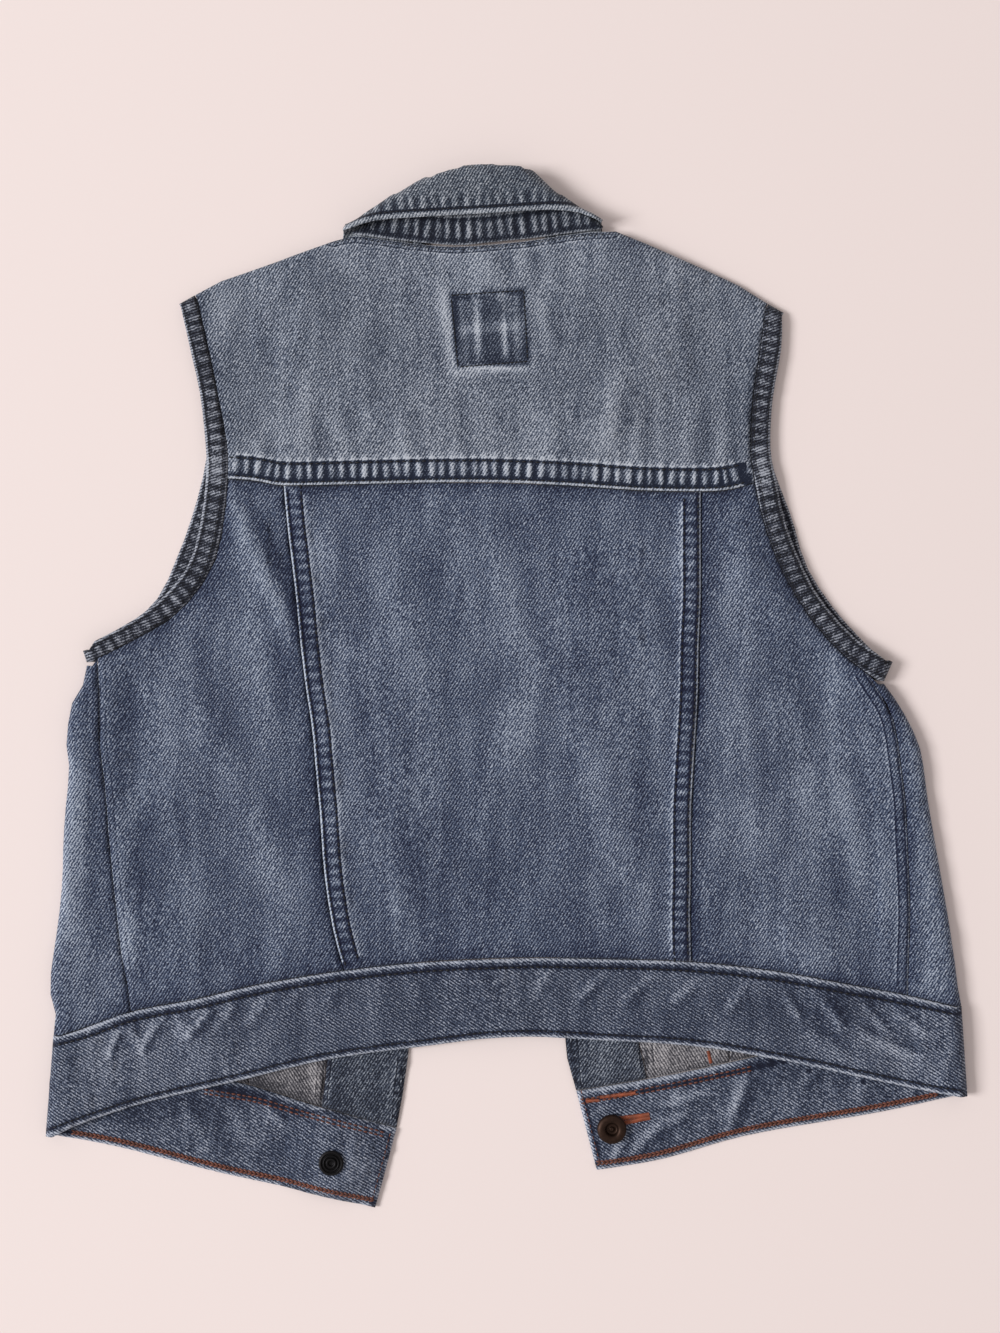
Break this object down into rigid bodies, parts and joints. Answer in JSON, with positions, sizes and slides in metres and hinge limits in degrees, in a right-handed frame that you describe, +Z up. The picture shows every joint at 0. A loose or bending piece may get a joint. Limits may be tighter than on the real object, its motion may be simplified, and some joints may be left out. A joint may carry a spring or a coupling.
{
  "type": "denim vest",
  "caption": "Sleeveless denim jacket laid flat face down, with a yoke, panelled back, rolled collar, bound armholes, hem band and tack buttons.",
  "frame": {"origin": "bottom centre of the bounding box, on the surface the vest lies on", "axes": "+X to the wearer's right, across the vest; +Y from hem to collar; +Z up from the surface, out of the vest's back"},
  "size_m": [0.4705, 0.533, 0.0142],
  "materials": {
    "back_yoke": "washed indigo denim",
    "back_centre_panel": "washed indigo denim",
    "back_side_panel_left": "washed indigo denim",
    "back_side_panel_right": "washed indigo denim",
    "front_side_panel_left": "washed indigo denim",
    "front_side_panel_right": "washed indigo denim",
    "front_centre_panel_left": "washed indigo denim",
    "front_centre_panel_right": "washed indigo denim",
    "placket_left": "doubled indigo denim",
    "placket_right": "doubled indigo denim",
    "hem_band": "doubled indigo denim",
    "armhole_binding_left": "folded indigo denim strip",
    "armhole_binding_right": "folded indigo denim strip",
    "collar_stand": "washed indigo denim",
    "collar_leaf": "washed indigo denim",
    "tack_button_left": "dark gunmetal plated brass",
    "tack_button_right": "dark bronze plated brass"
  },
  "bodies": {
    "root": {"back_yoke": "back_yoke", "back_centre_panel": "back_centre_panel", "back_side_panel_left": "back_side_panel_left", "back_side_panel_right": "back_side_panel_right", "front_side_panel_left": "front_side_panel_left", "front_side_panel_right": "front_side_panel_right", "front_centre_panel_left": "front_centre_panel_left", "front_centre_panel_right": "front_centre_panel_right", "placket_left": "placket_left", "placket_right": "placket_right", "hem_band": "hem_band", "armhole_binding_left": "armhole_binding_left", "armhole_binding_right": "armhole_binding_right", "collar_stand": "collar_stand", "collar_leaf": "collar_leaf", "tack_button_left": "tack_button_left", "tack_button_right": "tack_button_right"}
  },
  "joints": []
}
